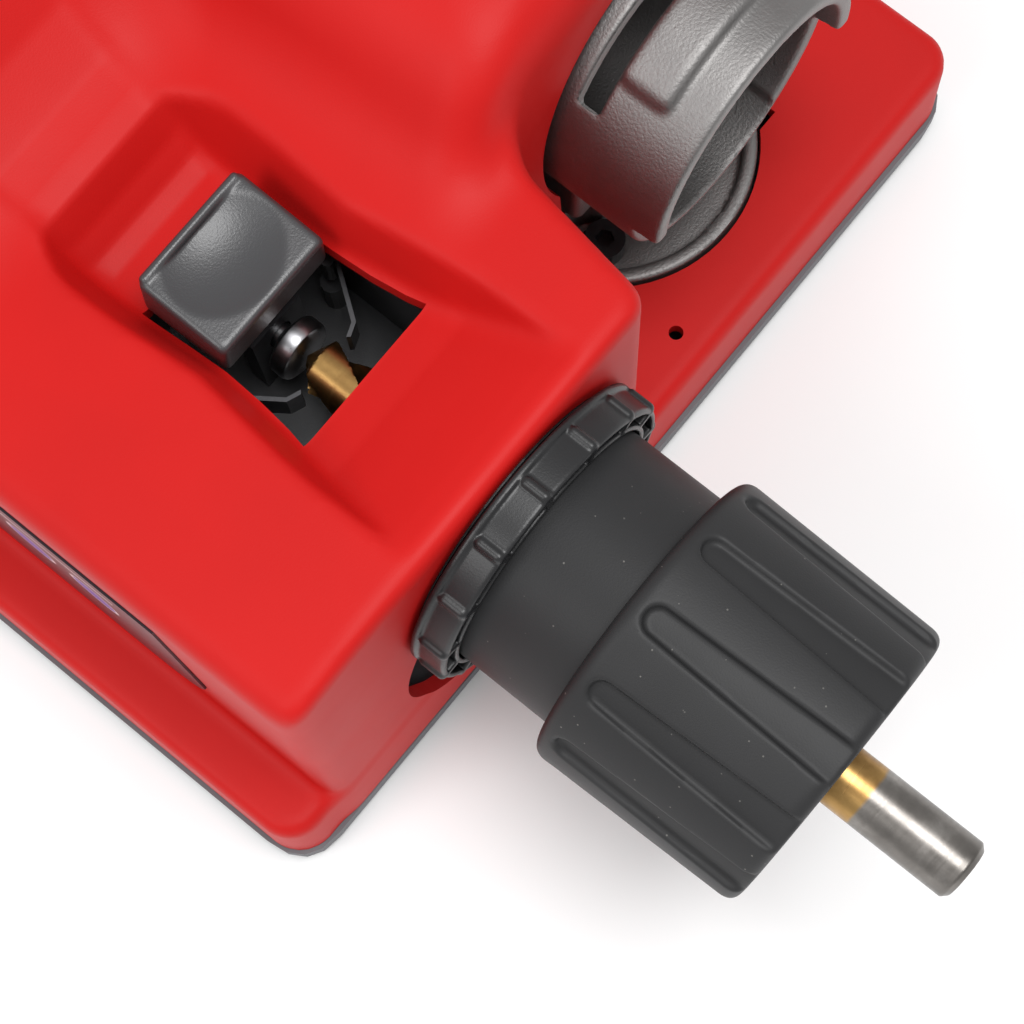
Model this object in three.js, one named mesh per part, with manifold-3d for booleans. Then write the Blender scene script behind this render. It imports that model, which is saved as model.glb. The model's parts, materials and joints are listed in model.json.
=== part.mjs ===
// Drill bit sharpener: a bench machine with a chuck, an alignment port, a swivelling
// sharpening port and a motor-driven diamond wheel. Millimetres, +Z up.
// The machine is drawn with X = 0 at its front face and Y = 0 at its left side, then the
// whole group is moved so that the origin is the middle of its footprint, on the floor.
import * as THREE from 'three';
import { mergeVertices } from 'three/addons/utils/BufferGeometryUtils.js';
import Module from 'manifold-3d';

const wasm = await Module();
wasm.setup();

// ---- driving dimensions -------------------------------------------------------------
const gap = 0.3; // clearance between touching pieces
const wall = 2.6; // housing wall

const footDrop = 2;
const baseThickness = 4;
const baseLength = 250;
const baseWidth = 186;
const baseCorner = 9;
const baseTop = footDrop + baseThickness;

const deckTop = 22;
const boxTop = 88.5; // at the front edge, the box falls from there to the rear
const boxFall = 0.115;
const shoulder = 80; // where the rear body and the hump rise out of the box
const humpTop = 101;
const rearTop = 107;
const shellInset = 0.8;
const ledge = 12.3; // flat ledge left and right of the raised body

const chuckY = 61;
const chuckZ = 62;
const portY = 132;
const discX = -39.5;

const barrelRadius = 20.85;
const barrelNose = -25;
const barrelShoulder = -4;
const barrelEnd = 50;
const noseRadius = 9.8;
const coneNoseRadius = 8.2;
const coneEndRadius = 18;
const coneAngle = THREE.MathUtils.degToRad(20);
const knobFront = 59.4;
const knobBack = 22.4;
const knobRadius = 25.35;
const knobGrooves = 12;
const jawCount = 6;
const jawThickness = 3;

const ringRadius = 25;
const ringBack = -0.4;
const ringFront = 5.7;
const ringRibs = 15;
const portBore = barrelRadius + 0.35;

const drillRadius = 5;
const drillTip = -41.9;
const drillEnd = 82.6;
const drillFluteEnd = 32;
const drillLead = 54;
const pointHalfAngle = THREE.MathUtils.degToRad(59);

const tubeRadius = 24;
const tubeMouth = -11.6;
const tubeLowMouth = -16.2;
const tubeInner = -54;
const discRadius = 26.4;
const discFloor = 20.5;
const discRim = 23;
const discBottom = 18;

const wheelRadius = 39;
const wheelThickness = 10;
const wheelTilt = THREE.MathUtils.degToRad(31);
const wheelCentre = new THREE.Vector3(-69, 121.7, 47);
const canRadius = 30;
const canFront = 32;
const canBack = 105;
const shaftRadius = 3;

const windowFront = -28.5;
const windowBack = -62;
const scoopBack = -79;
const scoopHalf = 12.3;
const scoopFloor = 70;

const buttonSlot = 3;

// ---- colours ------------------------------------------------------------------------
const red = { color: 0xd8141f, roughness: 0.42, metalness: 0 };
const greyPlastic = { color: 0x6b6b70, roughness: 0.6, metalness: 0 };
const blackPlastic = { color: 0x1b1b1d, roughness: 0.5, metalness: 0 };
const knobPlastic = { color: 0x3a3a3b, roughness: 0.62, metalness: 0 };
const buttonPlastic = { color: 0x46464a, roughness: 0.38, metalness: 0 };
const rubber = { color: 0x161616, roughness: 0.9, metalness: 0 };
const steel = { color: 0xa9abae, roughness: 0.3, metalness: 1 };
const darkSteel = { color: 0x2b2b2d, roughness: 0.4, metalness: 1 };
const castAluminium = { color: 0x8b8985, roughness: 0.55, metalness: 1 };
const gold = { color: 0xb8862f, roughness: 0.32, metalness: 1 };
const copper = { color: 0xb5683a, roughness: 0.35, metalness: 1 };
const diamond = { color: 0x4c5358, roughness: 0.9, metalness: 0.2 };
const boardGreen = { color: 0x23562f, roughness: 0.5, metalness: 0 };
const labelFilm = { color: 0x15171c, roughness: 0.3, metalness: 0 };

// ---- solids -------------------------------------------------------------------------
function solid(geometry) {
  const bare = geometry.clone();
  bare.deleteAttribute('normal');
  bare.deleteAttribute('uv');
  const merged = mergeVertices(bare, 1e-4);
  return new wasm.Manifold(new wasm.Mesh({
    numProp: 3,
    vertProperties: new Float32Array(merged.attributes.position.array),
    triVerts: new Uint32Array(merged.index.array),
  }));
}

function geometryOf(manifold) {
  const mesh = manifold.getMesh();
  const geometry = new THREE.BufferGeometry();
  geometry.setAttribute('position', new THREE.BufferAttribute(mesh.vertProperties, 3));
  geometry.setIndex(new THREE.BufferAttribute(mesh.triVerts, 1));
  geometry.computeVertexNormals();
  return geometry;
}

function joinAll(first, ...others) {
  return others.reduce((sum, other) => sum.add(other), first);
}

function cutAll(body, ...tools) {
  return tools.reduce((rest, tool) => rest.subtract(tool), body);
}

function box(x0, x1, y0, y1, z0, z1) {
  const geometry = new THREE.BoxGeometry(x1 - x0, y1 - y0, z1 - z0);
  geometry.translate((x0 + x1) / 2, (y0 + y1) / 2, (z0 + z1) / 2);
  return solid(geometry);
}

// A solid turned about the X axis through (y, z); profile points are [x, radius].
function turnedX(profile, segments = 32, y = 0, z = 0) {
  const points = profile.map(([x, r]) => new THREE.Vector2(r, x));
  const geometry = new THREE.LatheGeometry(points, segments);
  geometry.rotateZ(-Math.PI / 2);
  geometry.translate(0, y, z);
  return solid(geometry);
}

function rodX(x0, x1, radius, segments = 24, y = 0, z = 0) {
  return turnedX([[x0, 0], [x0, radius], [x1, radius], [x1, 0]], segments, y, z);
}

function tubeX(x0, x1, inner, outer, segments = 32, y = 0, z = 0) {
  return turnedX([[x0, inner], [x0, outer], [x1, outer], [x1, inner], [x0, inner]], segments, y, z);
}

function rodZ(z0, z1, radius, segments = 24, x = 0, y = 0) {
  const geometry = new THREE.CylinderGeometry(radius, radius, z1 - z0, segments);
  geometry.rotateX(Math.PI / 2);
  geometry.translate(x, y, (z0 + z1) / 2);
  return solid(geometry);
}

function tubeZ(z0, z1, inner, outer, segments = 32, x = 0, y = 0) {
  return rodZ(z0, z1, outer, segments, x, y)
    .subtract(rodZ(z0 - 1, z1 + 1, inner, segments, x, y));
}

// Moves every edge of a convex outline (anticlockwise) inwards by the distance.
function insetOutline(points, distance) {
  const count = points.length;
  const lines = points.map((point, i) => {
    const next = points[(i + 1) % count];
    const length = Math.hypot(next[0] - point[0], next[1] - point[1]);
    const normal = [-(next[1] - point[1]) / length, (next[0] - point[0]) / length];
    return { normal, offset: normal[0] * point[0] + normal[1] * point[1] + distance };
  });
  return points.map((_, i) => {
    const a = lines[(i + count - 1) % count];
    const b = lines[i];
    const det = a.normal[0] * b.normal[1] - a.normal[1] * b.normal[0];
    return [
      (a.offset * b.normal[1] - b.offset * a.normal[1]) / det,
      (a.normal[0] * b.offset - b.normal[0] * a.offset) / det,
    ];
  });
}

// Rounds each corner of an outline with a small curve through the same number of points.
function roundOutline(points, radii, steps = 4) {
  const count = points.length;
  const rounded = [];
  points.forEach((point, i) => {
    const corner = new THREE.Vector2(...point);
    const before = new THREE.Vector2(...points[(i + count - 1) % count]).sub(corner).normalize();
    const after = new THREE.Vector2(...points[(i + 1) % count]).sub(corner).normalize();
    const half = Math.acos(before.dot(after)) / 2;
    const reach = radii[i] / Math.tan(half);
    const start = corner.clone().addScaledVector(before, reach);
    const end = corner.clone().addScaledVector(after, reach);
    const curve = new THREE.QuadraticBezierCurve(start, corner, end);
    curve.getPoints(steps).forEach((p) => rounded.push([p.x, p.y]));
  });
  return rounded;
}

// A closed skin through a stack of outlines that all have the same number of points; the
// height of a layer is a number, or a function of x for a sloping one.
function loft(layers) {
  const count = layers[0].outline.length;
  const positions = [];
  layers.forEach(({ z, outline }) => outline.forEach(([x, y]) => {
    positions.push(x, y, typeof z === 'function' ? z(x) : z);
  }));
  const indices = [];
  for (let layer = 0; layer < layers.length - 1; layer++) {
    for (let i = 0; i < count; i++) {
      const a = layer * count + i;
      const b = layer * count + ((i + 1) % count);
      indices.push(a, b, b + count, a, b + count, a + count);
    }
  }
  const capOf = (outline) => THREE.ShapeUtils.triangulateShape(
    outline.map(([x, y]) => new THREE.Vector2(x, y)), []);
  const top = (layers.length - 1) * count;
  capOf(layers[0].outline).forEach(([a, b, c]) => indices.push(a, c, b));
  capOf(layers.at(-1).outline).forEach(([a, b, c]) => indices.push(top + a, top + b, top + c));
  const geometry = new THREE.BufferGeometry();
  geometry.setAttribute('position', new THREE.Float32BufferAttribute(positions, 3));
  geometry.setIndex(indices);
  return solid(geometry);
}

function prism(outline, z0, z1) {
  return loft([{ z: z0, outline }, { z: z1, outline }]);
}

// ---- assembly -----------------------------------------------------------------------
const machine = new THREE.Group();
const atChuck = new THREE.Group();
atChuck.position.set(0, chuckY, chuckZ);
// The motor's own frame: +X leaves the wheel's grinding face towards the sharpening port.
const atMotor = new THREE.Group();
atMotor.position.copy(wheelCentre);
atMotor.rotation.z = wheelTilt;
machine.add(atChuck, atMotor);

function piece(name, shape, look, group = machine) {
  const geometry = shape.isBufferGeometry ? shape : geometryOf(shape);
  const mesh = new THREE.Mesh(geometry, new THREE.MeshStandardMaterial(look));
  mesh.name = name;
  group.add(mesh);
  return mesh;
}

// ---- base, feet and screws ----------------------------------------------------------
const screwInset = 9;
const footInset = 26;
const footRadius = 8;
const cornersAt = (inset) => [
  [-inset, inset],
  [-inset, baseWidth - inset],
  [-baseLength + inset, inset],
  [-baseLength + inset, baseWidth - inset],
];
const baseRectangle = [
  [-baseLength, 0], [0, 0], [0, baseWidth], [-baseLength, baseWidth],
];
const bossBore = 2.1;
const headRadius = 3.6;
const footPocket = footDrop + 1.5;

function makeBase() {
  const outline = roundOutline(baseRectangle, [baseCorner, baseCorner, baseCorner, baseCorner]);
  let base = prism(outline, footDrop, baseTop);
  cornersAt(screwInset).forEach(([x, y]) => {
    base = cutAll(base,
      rodZ(0, baseTop + 1, bossBore, 12, x, y),
      rodZ(0, footDrop + 2.2, headRadius + gap, 16, x, y));
  });
  cornersAt(footInset).forEach(([x, y]) => {
    base = base.subtract(rodZ(0, footPocket, footRadius + gap, 20, x, y));
  });
  piece('base_plate', base, greyPlastic);
  cornersAt(footInset).forEach(([x, y], i) => {
    piece(`rubber_foot_${i + 1}`, rodZ(0, footPocket - gap, footRadius, 20, x, y), rubber);
  });
  cornersAt(screwInset).forEach(([x, y], i) => {
    const head = rodZ(footDrop, footDrop + 1.9, headRadius, 16, x, y);
    const shank = rodZ(footDrop + 1, 17, bossBore - gap, 12, x, y);
    piece(`base_screw_${i + 1}`, head.add(shank), steel);
  });
}

// ---- housing ------------------------------------------------------------------------
const bodyRight = baseWidth - ledge;
const bodyRear = -baseLength + ledge;
const topRim = [[-8, 0.4], [-4, 1], [-1.4, 2.4], [0, 5]]; // height below the top, inset

function deckLayers(offset, top, bottom) {
  const levels = [[bottom, 0], [17, 0.8], [20, 1.8], [21.5, 3.4], [deckTop, 5.2]];
  return levels.map(([z, inset]) => ({
    z: z === bottom ? bottom : z - top,
    outline: roundOutline(
      insetOutline(baseRectangle, shellInset + inset + offset),
      Array(4).fill(baseCorner - 1 - inset / 2)),
  }));
}

// The box over the alignment port, with a little draft on its left side.
function boxLayers(offset, top, bottom) {
  const levels = [[bottom, 0], ...topRim.map(([down, inset]) => [boxTop - top + down, inset])];
  return levels.map(([level, inset]) => {
    const left = level === bottom ? ledge : ledge + 1.2;
    const outline = [[-110, left], [-shellInset, left], [-shellInset, 93], [-30, 98.6], [-110, 98.6]];
    return {
      z: level === bottom ? bottom : (x) => level + boxFall * (x + 3),
      outline: roundOutline(insetOutline(outline, inset + offset), [3, 8, 6, 5, 3]),
    };
  });
}

// The tall rear body over the motor; its front face leans back from the box top.
function rearLayers(offset, top, bottom) {
  const levels = [
    [bottom, -88, 0], [shoulder - 2, -88, 1.5], [shoulder + 12, -97, 2.5],
    [rearTop - 7, -108, 4], [rearTop - 2, -114, 7], [rearTop, -122, 13],
  ];
  return levels.map(([z, front, inset]) => ({
    z: z === bottom ? bottom : z - top,
    outline: roundOutline([
      [bodyRear + inset + offset, ledge + inset + offset],
      [front - offset, ledge + inset + offset],
      [front - offset, bodyRight - inset - offset],
      [bodyRear + inset + offset, bodyRight - inset - offset],
    ], [18, 8, 8, 18]),
  }));
}

// The hump over the wheel, beside the box and behind the sharpening port.
function humpLayers(offset, top, bottom) {
  const levels = [
    [bottom, -30, 84, 0], [shoulder, -31, 85, 1.5], [humpTop - 8, -33, 89, 2.5],
    [humpTop - 2.5, -36, 93, 5], [humpTop, -41, 98, 10],
  ];
  return levels.map(([z, front, left, inset]) => ({
    z: z === bottom ? bottom : z - top,
    outline: roundOutline([
      [-150, left + offset], [front - offset, left + offset],
      [front - offset, bodyRight - inset - offset], [-150, bodyRight - inset - offset],
    ], [3, 7, 12, 3]),
  }));
}

function skin(offset, top, bottom) {
  const parts = [deckLayers, boxLayers, rearLayers, humpLayers];
  return joinAll(...parts.map((layers) => loft(layers(offset, top, bottom))));
}

// The thumb window flares towards the front and narrows in the middle.
function windowOutline() {
  const halfWidths = [
    [windowBack, scoopHalf], [-52, 12], [-45, 11.9], [-38, 12.3], [-32, 13], [windowFront, 13.7],
  ];
  const near = halfWidths.map(([x, half]) => [x, chuckY - half]);
  const far = halfWidths.map(([x, half]) => [x, chuckY + half]).reverse();
  return [...near, ...far];
}

// The valley that runs back along the chuck axis: it falls from the front edge to the thumb
// window, is level at the finger scoop and curves up behind it. The offset deepens it.
function valleyVoid(offset) {
  const floor = [
    [scoopBack, shoulder + 4], [-77.5, 78], [-75.5, 74], [-73, 71.2], [-70, scoopFloor],
    [-59, 70.8], [-45, 74.5], [windowFront, 76.5], [-14, 82.8], [-5, boxTop], [-2, boxTop + 3],
  ];
  const sides = [[21, 16], [18, 8], [15.4, 2.4], [scoopHalf + 0.8, 0]]; // half-width, raised by
  const layerAt = (y, raised) => ({
    z: y,
    outline: [
      ...floor.map(([x, z]) => [x <= -70 ? x - offset : x, z + raised - offset]),
      [-2, boxTop + 40], [scoopBack - offset, boxTop + 40],
    ],
  });
  const left = sides.map(([half, raised]) => layerAt(-half - offset, raised));
  const right = sides.map(([half, raised]) => layerAt(half + offset, raised)).reverse();
  return loft([...left, ...right]).rotate([90, 0, 0]).translate([0, chuckY, 0]);
}

const ringHoleRadius = 22.9;
const lowerHoleRadius = 28;
const lowerHoleZ = 36;
const switchX = -196;
const switchZ = 62;
const glandY = 60;
const glandZ = 34;
const ventCount = 9;

function makeHousing() {
  const bottom = baseTop + gap;
  const inside = skin(wall, wall, bottom - 5).subtract(valleyVoid(wall));
  let shell = cutAll(skin(0, 0, bottom),
    valleyVoid(0),
    inside,
    prism(windowOutline(), 60, boxTop + 20),
    box(windowBack - buttonSlot, windowBack + 2, chuckY - 6.6, chuckY + 6.6, 60, 78),
    rodX(-6.5, 5, ringHoleRadius, 40, chuckY, chuckZ),
    rodX(-12, 5, lowerHoleRadius, 40, chuckY, lowerHoleZ),
    rodZ(0, 30, discRadius + 0.6, 48, discX, portY),
    rodX(-46, -20, tubeRadius + 2.6, 40, portY, chuckZ),
    box(-46, -20, portY - 23, portY + 23, 15, chuckZ),
    rodZ(0, 40, 1.3, 12, -8.2, 112.1),
    box(switchX - 11.5, switchX + 11.5, 0, 20, switchZ - 7, switchZ + 7),
    rodX(bodyRear - 5, bodyRear + 10, 6, 20, glandY, glandZ));
  for (let i = 0; i < ventCount; i++) {
    const y = 82 + i * 8;
    shell = shell.subtract(box(bodyRear - 5, bodyRear + 12, y, y + 3, 38, 82));
  }
  cornersAt(screwInset).forEach(([x, y]) => {
    shell = shell.add(rodZ(bottom, deckTop - 2, 4.6, 16, x, y));
    shell = shell.subtract(rodZ(bottom - 1, 18, bossBore, 12, x, y));
  });
  piece('housing', shell, red);
}

function makeLabel() {
  const length = 125;
  const height = 44;
  const outline = new THREE.Shape();
  outline.moveTo(0, 0);
  outline.lineTo(length - 14, 0);
  outline.quadraticCurveTo(length - 3, 3, length, 16);
  outline.lineTo(length - 4, height);
  outline.lineTo(0, height);
  const geometry = new THREE.ExtrudeGeometry(outline, {
    depth: 0.4, bevelEnabled: false, curveSegments: 4,
  });
  geometry.rotateX(Math.PI / 2 - 0.0213);
  const mesh = piece('label_plate', solid(geometry), labelFilm);
  mesh.position.set(-25 - length, ledge + 0.3, 28);
}

// ---- power inlet, switch and rectifier ----------------------------------------------
function makeElectrics() {
  const wallY = ledge;
  const body = joinAll(
    box(switchX - 14, switchX + 14, wallY - 1.5, wallY - gap, switchZ - 9, switchZ + 9),
    box(switchX - 10.8, switchX + 10.8, wallY - 1, wallY + 16, switchZ - 6.4, switchZ + 6.4));
  const opening = box(switchX - 9, switchX + 9, wallY - 4, wallY + 8, switchZ - 4.6, switchZ + 4.6);
  piece('switch_body', body.subtract(opening), blackPlastic);

  const rocker = new THREE.Shape();
  rocker.moveTo(-8.2, -2.4);
  rocker.lineTo(0, -0.9);
  rocker.lineTo(8.2, -2.4 + 1.5);
  rocker.lineTo(7.6, 3);
  rocker.lineTo(-7.6, 3);
  const rockerGeometry = new THREE.ExtrudeGeometry(rocker, { depth: 8.4, bevelEnabled: false });
  rockerGeometry.translate(0, 0, -4.2);
  const mesh = piece('switch_rocker', solid(rockerGeometry), rubber);
  mesh.position.set(switchX, wallY, switchZ);

  const gland = turnedX([
    [-9, 3.5], [-9, 5], [-3, 7], [-gap, 8.5], [-gap, 5.6], [6, 5.6], [6, 3.5], [-9, 3.5],
  ], 24, glandY, glandZ);
  piece('cable_gland', gland.translate([bodyRear, 0, 0]), blackPlastic);

  const board = joinAll(
    box(-232, -184, 100, 134, 14, 16),
    box(-226, -210, 106, 122, 15, 27),
    rodZ(15, 34, 6, 16, -198, 112),
    ...cornersAt(0).map((_, i) => rodZ(baseTop + gap, 15, 2.5, 8,
      i < 2 ? -187 : -229, i % 2 ? 103 : 131)));
  piece('rectifier_board', board, boardGreen);
}

// ---- motor, rotor and wheel (in the motor's frame) ------------------------------------
const along = (distance) => -distance; // distance behind the grinding face

function tubeAlong(front, back, inner, outer, segments = 32) {
  return tubeX(along(back), along(front), inner, outer, segments);
}

function rodAlong(front, back, radius, segments = 24) {
  return rodX(along(back), along(front), radius, segments);
}

function makeMotor() {
  piece('motor_can', tubeAlong(canFront, canBack, canRadius - 2, canRadius, 36), steel, atMotor);

  const frontCap = rodAlong(canFront - 4.3, canFront - gap, canRadius, 36)
    .subtract(rodAlong(0, 60, 8.8, 24));
  piece('motor_front_cap', frontCap, greyPlastic, atMotor);

  const rearCap = cutAll(
    rodAlong(canBack + gap, canBack + 18, canRadius, 36),
    rodAlong(canBack, canBack + 15, canRadius - 2.5, 36),
    rodAlong(canBack, canBack + 30, 8.8, 24));
  piece('motor_rear_cap', rearCap, blackPlastic, atMotor);

  piece('front_bearing', tubeAlong(canFront - 5, canFront, 3.3, 8.5, 24), steel, atMotor);
  piece('rear_bearing', tubeAlong(canBack + 13, canBack + 18, 3.3, 8.5, 24), steel, atMotor);

  const magnetRing = tubeAlong(canFront + 14, canBack - 14, 22.4, canRadius - 2.3, 36);
  [1, -1].forEach((side, i) => {
    const half = side > 0 ? box(-200, 0, -40, 40, 8, 40) : box(-200, 0, -40, 40, -40, -8);
    piece(`field_magnet_${i + 1}`, magnetRing.intersect(half), darkSteel, atMotor);
    const brush = side > 0
      ? box(along(114), along(109), -2.5, 2.5, 8.4, 18)
      : box(along(114), along(109), -2.5, 2.5, -18, -8.4);
    piece(`carbon_brush_${i + 1}`, brush, darkSteel, atMotor);
  });

  const strapFronts = [46, 86];
  const floorZ = baseTop + gap - wheelCentre.z;
  let cradle = box(along(100), along(46), -26, 26, floorZ, floorZ + 4);
  strapFronts.forEach((front, i) => {
    cradle = cradle.add(box(along(front + 14), along(front), -26, 26, floorZ, -14));
    const strap = tubeAlong(front + 2, front + 12, canRadius + gap, canRadius + 1.5, 36)
      .intersect(box(-200, 0, -40, 40, -13.5, 40));
    piece(`motor_strap_${i + 1}`, strap, steel, atMotor);
  });
  piece('motor_cradle', cradle.subtract(rodX(-200, 0, canRadius + gap, 36)),
    blackPlastic, atMotor);
}

function makeRotor() {
  piece('motor_shaft', rodAlong(3, canBack + 17, shaftRadius, 16), steel, atMotor);

  const slots = 12;
  const coreOutline = [];
  for (let i = 0; i < slots; i++) {
    const turn = (2 * Math.PI) / slots;
    [[-0.4, 21.6], [0, 21.6], [0.4, 21.6], [0.42, 16.5], [0.58, 16.5]].forEach(([part, radius]) => {
      const angle = (i + part) * turn;
      coreOutline.push([radius * Math.cos(angle), radius * Math.sin(angle)]);
    });
  }
  const bore = shaftRadius + gap;
  const core = prism(coreOutline, 0, 46).rotate([0, 90, 0]).translate([along(94), 0, 0]);
  piece('armature_core', core.subtract(rodAlong(0, 200, bore, 16)), darkSteel, atMotor);

  [[40, 47.7], [94.3, 102]].forEach(([front, back], i) => {
    const profile = [
      [along(back), bore], [along(back), 12], [along(back - 2.5), 18], [along(front + 2.5), 18],
      [along(front), 12], [along(front), bore], [along(back), bore],
    ];
    piece(`armature_winding_${i + 1}`, turnedX(profile, 24), copper, atMotor);
  });
  piece('commutator', tubeAlong(104, 116, bore, 8, 24), copper, atMotor);

  let fan = tubeAlong(33, 39, bore, 6, 20).add(tubeAlong(38, 39.2, 5, 21, 24));
  for (let i = 0; i < 8; i++) {
    const blade = box(along(38.5), along(33), 5, 20.5, -0.6, 0.6).rotate([i * 45, 0, 0]);
    fan = fan.add(blade);
  }
  piece('cooling_fan', fan, blackPlastic, atMotor);

  const wheelBody = tubeAlong(2, wheelThickness, 6.6, wheelRadius - 0.5, 48);
  const abrasive = tubeAlong(0, 2.5, 14.5, wheelRadius, 48);
  piece('grinding_wheel', wheelBody.add(abrasive), diamond, atMotor);
  piece('wheel_flange',
    tubeAlong(wheelThickness + gap, 13, bore, 14, 32).add(tubeAlong(4, 17, bore, 6.2, 24)),
    steel, atMotor);
  piece('wheel_washer', tubeAlong(0.5, 2, 2.8, 13, 24), steel, atMotor);
  const screw = cutAll(
    rodAlong(-2.6, gap - 0.1, 5, 20).add(rodAlong(0, 2.7, 2.4, 12)),
    rodAlong(-5, -1, 2, 6));
  piece('wheel_screw', screw, darkSteel, atMotor);
}

// ---- chuck (in the chuck's frame, X along its axis) -----------------------------------
const coneRadiusAt = (x) => coneNoseRadius + (x - barrelNose) * Math.tan(coneAngle);

function makeBarrel() {
  const coneEnd = barrelNose + (coneEndRadius - coneNoseRadius) / Math.tan(coneAngle);
  piece('chuck_barrel', turnedX([
    [barrelNose, coneNoseRadius], [barrelNose, noseRadius], [barrelShoulder, barrelRadius],
    [barrelEnd, barrelRadius], [barrelEnd, coneEndRadius], [coneEnd, coneEndRadius],
    [barrelNose, coneNoseRadius],
  ], 48), knobPlastic, atChuck);
}

function makeKnob() {
  const length = knobFront - knobBack;
  const nutBore = 23.6; // lets the jaw nut run its whole travel inside the hub
  const profile = [
    [0, barrelRadius + 0.4], [0, knobRadius - 2], [0.7, knobRadius - 0.6], [2, knobRadius],
    [length - 2.2, knobRadius - 0.7], [length - 0.7, knobRadius - 1.5], [length, knobRadius - 3],
    [length, 7.5], [nutBore, 7.5], [nutBore, 10.2], [7.6, 10.2], [7.6, 14], [length - 7, 14], [length - 7, barrelRadius + 0.4],
    [0, barrelRadius + 0.4],
  ].map(([x, radius]) => [x + knobBack, radius]);
  let knob = turnedX(profile, 72);
  const grooveRadius = 7;
  const grooveDepth = 1.1;
  const centre = knobRadius + grooveRadius - grooveDepth;
  for (let i = 0; i < knobGrooves; i++) {
    const groove = turnedX([
      [knobBack + 2.5, 0], [knobBack + 2.5, grooveRadius - 1.4], [knobBack + 4.5, grooveRadius],
      [knobFront + 1, grooveRadius], [knobFront + 1, 0],
    ], 24).translate([0, 0, centre]);
    knob = knob.subtract(groove.rotate([(360 / knobGrooves) * i + 9, 0, 0]));
  }
  piece('chuck_knob', knob, knobPlastic, atChuck);
}

function makeJaws() {
  const front = barrelNose + 0.5;
  const back = -5;
  for (let i = 0; i < jawCount; i++) {
    const side = new THREE.Shape();
    side.moveTo(front, drillRadius + gap);
    side.lineTo(back, drillRadius + gap);
    side.lineTo(back, coneRadiusAt(back) - 0.6);
    side.lineTo(front, coneRadiusAt(front) - 0.6);
    const geometry = new THREE.ExtrudeGeometry(side, { depth: jawThickness, bevelEnabled: false });
    geometry.translate(0, 0, -jawThickness / 2);
    const mesh = piece(`chuck_jaw_${i + 1}`, solid(geometry), steel, atChuck);
    mesh.rotation.x = (i * 2 * Math.PI) / jawCount;
  }
  piece('jaw_nut', turnedX([
    [-4.6, 6.5], [-4.6, 14.8], [6, 14.8], [6, 9.8], [40, 9.8], [40, 6.5], [-4.6, 6.5],
  ], 32), steel, atChuck);
}

// A collar with grip ribs and a ring of pockets in its front face.
function makeCollarRing() {
  const inner = portBore;
  let ring = turnedX([
    [ringBack, inner], [ringBack, ringRadius], [ringFront - 0.8, ringRadius],
    [ringFront, ringRadius - 0.8], [ringFront, inner], [ringBack, inner],
  ], 60);
  const turn = 360 / ringRibs;
  const pocket = tubeX(ringFront - 3.8, ringFront + 1, inner + 0.9, ringRadius - 1.3, 60);
  for (let i = 0; i < ringRibs; i++) {
    const rib = box(ringBack + 1, ringFront - 0.3, -0.7, 0.7, ringRadius - 1, ringRadius + 0.7);
    const wedge = box(ringFront - 4, ringFront + 2, -4.2, 4.2, inner - 2, ringRadius + 2);
    ring = ring.add(rib.rotate([turn * i, 0, 0]));
    ring = ring.subtract(pocket.intersect(wedge.rotate([turn * (i + 0.5), 0, 0])));
  }
  piece('collar_ring', ring, blackPlastic, atChuck);
}

function makeSleeve() {
  const flange = tubeX(-6.4, -shellInset - wall - 1.2, portBore, 27, 48)
    .intersect(box(-10, 0, -30, 30, -30, 20));
  const sleeve = tubeX(-6.4, -1.2, portBore, ringHoleRadius - gap, 48).add(flange);
  piece('alignment_sleeve', sleeve, blackPlastic, atChuck);
}

// Two-flute twist drill: the section is turned as it is carried along the axis.
function makeDrill() {
  const sectionPoints = 20;
  const steps = 30;
  const fluteCentre = 4.9;
  const fluteRadius = 3.6;
  const valleyAt = -37.9;
  const length = drillFluteEnd - drillTip;
  const radiusAt = (angle) => {
    const fromValley = Math.abs(Math.cos(angle));
    const across = Math.sin(angle);
    const reach = fluteRadius ** 2 - (fluteCentre * across) ** 2;
    return reach <= 0 ? drillRadius : Math.min(drillRadius, fluteCentre * fromValley - Math.sqrt(reach));
  };
  const layers = [];
  for (let step = 0; step <= steps; step++) {
    const along01 = step / steps;
    const twist = -(2 * Math.PI * (along01 * length + drillTip - valleyAt)) / drillLead;
    const outline = [];
    for (let i = 0; i < sectionPoints; i++) {
      const angle = (2 * Math.PI * i) / sectionPoints;
      const radius = radiusAt(angle);
      outline.push([radius * Math.cos(angle + twist), radius * Math.sin(angle + twist)]);
    }
    layers.push({ z: drillTip + along01 * length, outline });
  }
  const fluted = loft(layers).rotate([0, 0, 90]).rotate([0, 90, 0]);
  const tipLength = drillRadius / Math.tan(pointHalfAngle);
  const cone = turnedX([
    [drillTip, 0], [drillTip + tipLength, drillRadius + 0.01], [drillFluteEnd + 1, drillRadius + 0.01],
    [drillFluteEnd + 1, 0],
  ], 40);
  const shank = turnedX([
    [drillFluteEnd - 4, 0], [drillFluteEnd, drillRadius], [drillEnd - 0.8, drillRadius],
    [drillEnd, drillRadius - 0.8], [drillEnd, 0],
  ], 32);
  piece('drill_bit', fluted.intersect(cone).add(shank), gold, atChuck);
}

// ---- alignment mechanism under the thumb window ---------------------------------------
const frameBack = -72;
const frameFront = -27;
const frameTop = scoopFloor - wall - 0.6;

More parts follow.
